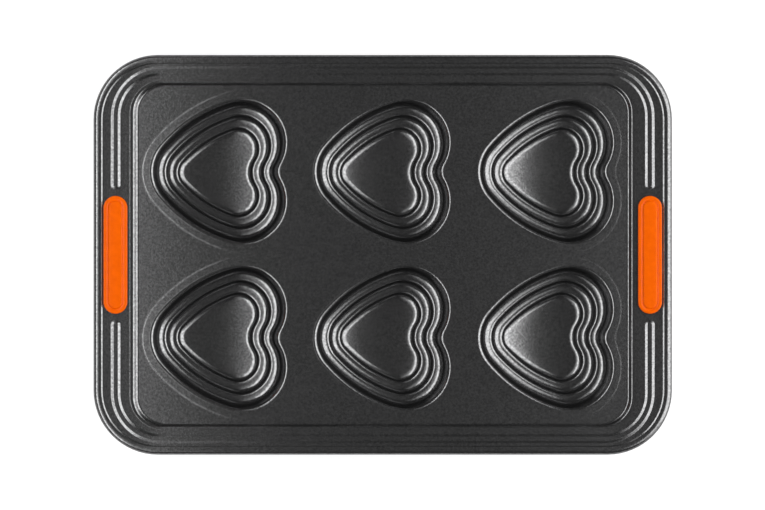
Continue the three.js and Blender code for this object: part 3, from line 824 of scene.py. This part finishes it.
def grip_section():
    """How far each outline is drawn in, and its height where the flange is highest."""
    middle = GRIP_WIDTH / 2
    upper_foot = FLANGE_Z + CLEARANCE
    upper_top = upper_foot + PAD_THICKNESS
    lower_top = FLANGE_Z - SHEET - CLEARANCE
    lower_foot = lower_top - PAD_THICKNESS
    corners = np.array([
        [middle, lower_foot], [0, lower_foot], [0, lower_top],
        [NECK_INSET, lower_top], [NECK_INSET, upper_foot], [0, upper_foot], [0, upper_top],
        [PANEL_INSET - GROOVE_WIDTH, upper_top], [PANEL_INSET, upper_top - GROOVE_DEPTH],
        [PANEL_INSET + PANEL_RUN, upper_top + PANEL_RAISE], [middle, upper_top + PANEL_RAISE],
    ])
    bends = rounded_section(corners, GRIP_RADII, GRIP_BEND_STEPS)
    return np.concatenate([corners[:1], bends, corners[-1:]])


grip_levels = grip_section()
print("levels of a grip:", len(grip_levels))

# %% [markdown]
# ## Left and right
# The two grips are the same moulding, one at each end of the pan. A mirrored copy would do, but a mirror
# turns faces inside out. To make the stack of outlines twice needs no repair.

# %% Two grips
WELD_DISTANCE = 0.001


def grip_grid(centre_x):
    """The outlines of all levels; one drawn in by half the width shrinks to the middle line."""
    outline = stadium(0, 1, 0)
    straight = np.where(np.arange(len(outline)) <= GRIP_END_STEPS, GRIP_HALF_STRAIGHT, -GRIP_HALF_STRAIGHT)
    radius = (GRIP_WIDTH / 2 - grip_levels[:, 0])[:, None]
    plan = np.stack([centre_x + radius * outline[:, 0], straight + radius * outline[:, 1]], axis=-1)
    return with_height(plan, grip_levels[:, 1:] + end_flange_z(plan[..., 0]) - FLANGE_Z)


def weld(piece):
    """Merges the points that meet on the middle lines, so that the skin is closed."""
    mesh = bmesh.new()
    mesh.from_mesh(piece.data)
    bmesh.ops.remove_doubles(mesh, verts=mesh.verts, dist=WELD_DISTANCE * MM)
    mesh.to_mesh(piece.data)
    mesh.free()


for side, name in ((-1, "left_grip"), (1, "right_grip")):
    stack = grip_grid(side * GRIP_X)
    quads = ring_quads(*numbered([stack])).reshape(-1, 4).tolist()
    grip = new_piece(f"{name}_pad", stack.reshape(-1, 3), quads, silicone, name)
    weld(grip)
    print(grip.name, len(grip.data.vertices), "points")

# %% [markdown]
# ## Floor
# The pan stands on a plain white floor. Lamps strong enough to make it white would wash out the dark coat,
# so the floor has a glow as well. Only the camera, reflections and anything seen through glass get to see
# it, so the pan's soft shadow stays.

# %% Floor
FLOOR_HALF = 20
FLOOR_GLOW = 0.8
FLOOR_COLOUR = 0.3


def floor_material():
    """Diffuse paint plus a glow whose strength is the largest of three ray tests, times FLOOR_GLOW."""
    material = bpy.data.materials.new("white_floor")
    material.use_nodes = True
    nodes = material.node_tree.nodes
    links = material.node_tree.links
    nodes.clear()
    output = nodes.new("ShaderNodeOutputMaterial")
    add = nodes.new("ShaderNodeAddShader")
    paint = nodes.new("ShaderNodeBsdfDiffuse")
    paint.inputs["Color"].default_value = (FLOOR_COLOUR, FLOOR_COLOUR, FLOOR_COLOUR, 1)
    glow = nodes.new("ShaderNodeEmission")
    path = nodes.new("ShaderNodeLightPath")
    seen = path.outputs["Is Camera Ray"]
    for ray in ("Is Glossy Ray", "Is Transmission Ray"):
        either = nodes.new("ShaderNodeMath")
        either.operation = "MAXIMUM"
        links.new(seen, either.inputs[0])
        links.new(path.outputs[ray], either.inputs[1])
        seen = either.outputs[0]
    strength = nodes.new("ShaderNodeMath")
    strength.operation = "MULTIPLY"
    strength.inputs[1].default_value = FLOOR_GLOW
    links.new(seen, strength.inputs[0])
    links.new(strength.outputs[0], glow.inputs["Strength"])
    links.new(paint.outputs[0], add.inputs[0])
    links.new(glow.outputs[0], add.inputs[1])
    links.new(add.outputs[0], output.inputs["Surface"])
    return material


floor_mesh = bpy.data.meshes.new("floor")
floor_corners = FLOOR_HALF * np.array([[-1, -1, 0], [1, -1, 0], [1, 1, 0], [-1, 1, 0]])
floor_mesh.from_pydata(floor_corners.tolist(), [], [[0, 1, 2, 3]])
floor_mesh.materials.append(floor_material())
floor = bpy.data.objects.new("floor", floor_mesh)
scene.collection.objects.link(floor)
print("floor:", 2 * FLOOR_HALF, "m wide")

# %% [markdown]
# ## Lamps and room
# Softboxes stand to the left and to the right, and nothing lights the pan from the front or the back: that
# is why only the bends that face left or right shine. A near, narrow lamp draws a crisp line on a bend and
# a wide one a broad band; a dim strip over the left side makes the glow on the deck there. Overhead is
# only a faint panel, which the level deck mirrors. The room adds a little light from everywhere.

# %% Softboxes and a dim room
ROOM_LIGHT = 0.03


def softbox(name, x, z, width, length, radiance):
    """A lamp that faces the middle of the pan; its power is radiance times pi times its area."""
    lamp = bpy.data.lights.new(name, "AREA")
    lamp.shape = "RECTANGLE"
    lamp.size = width
    lamp.size_y = length
    lamp.energy = radiance * math.pi * width * length
    piece = bpy.data.objects.new(name, lamp)
    piece.location = (x, 0, z)
    piece.rotation_euler = (0, math.atan2(x, z), 0)
    piece.visible_camera = False
    scene.collection.objects.link(piece)


softbox("left_softbox", x=-0.66, z=0.66, width=0.4, length=1.6, radiance=3.7)
softbox("left_strip", x=-0.34, z=0.8, width=0.25, length=2.4, radiance=0.68)
softbox("right_softbox", x=0.93, z=0.53, width=1.04, length=1.1, radiance=3.3)
softbox("right_long_softbox", x=0.93, z=0.53, width=1.04, length=1.9, radiance=1.3)
softbox("upper_right_softbox", x=0.56, z=0.98, width=0.3, length=1.3, radiance=2.2)
softbox("overhead_panel", x=0, z=1.6, width=1.0, length=1.0, radiance=0.012)
world = bpy.data.worlds.new("dim_room")
world.use_nodes = True
world.node_tree.nodes["Background"].inputs["Color"].default_value = (ROOM_LIGHT, ROOM_LIGHT, ROOM_LIGHT, 1)
scene.world = world
